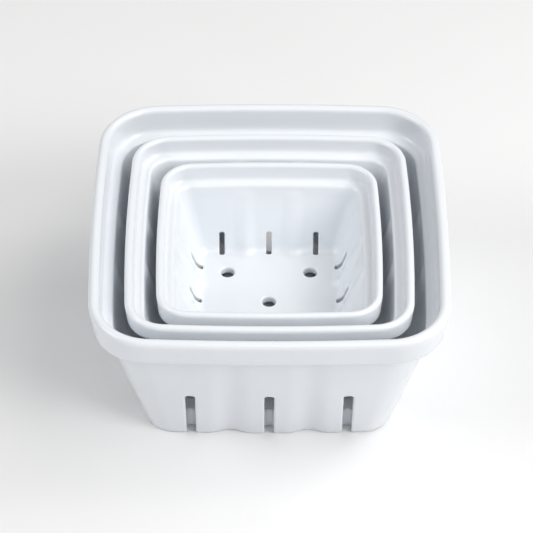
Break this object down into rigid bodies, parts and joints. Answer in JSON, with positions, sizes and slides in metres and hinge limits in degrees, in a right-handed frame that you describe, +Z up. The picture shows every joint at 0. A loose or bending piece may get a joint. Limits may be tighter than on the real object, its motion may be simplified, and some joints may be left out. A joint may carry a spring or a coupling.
{
  "type": "berry colander set",
  "caption": "Nested square berry colanders in glossy white melamine, with fluted tapering walls, drain slots and drain holes.",
  "frame": {"origin": "centre of the large bowl's foot, on the surface that it stands on", "axes": "+Z up through the middles of the bowls, +X to the right and -Y towards the viewer of the picture"},
  "size_m": [0.205, 0.205, 0.104],
  "materials": {
    "large_melamine": "glossy moulded white melamine",
    "medium_melamine": "glossy moulded white melamine",
    "small_melamine": "glossy moulded white melamine"
  },
  "bodies": {
    "large": {"large_colander": "large_melamine"},
    "medium": {"medium_colander": "medium_melamine"},
    "small": {"small_colander": "small_melamine"}
  },
  "joints": [
    {"name": "medium_lift", "type": "slide", "parent": "large", "child": "medium", "axis": [0, 0, 1], "range_m": [0, 0.095]},
    {"name": "small_lift", "type": "slide", "parent": "medium", "child": "small", "axis": [0, 0, 1], "range_m": [0, 0.075]}
  ]
}
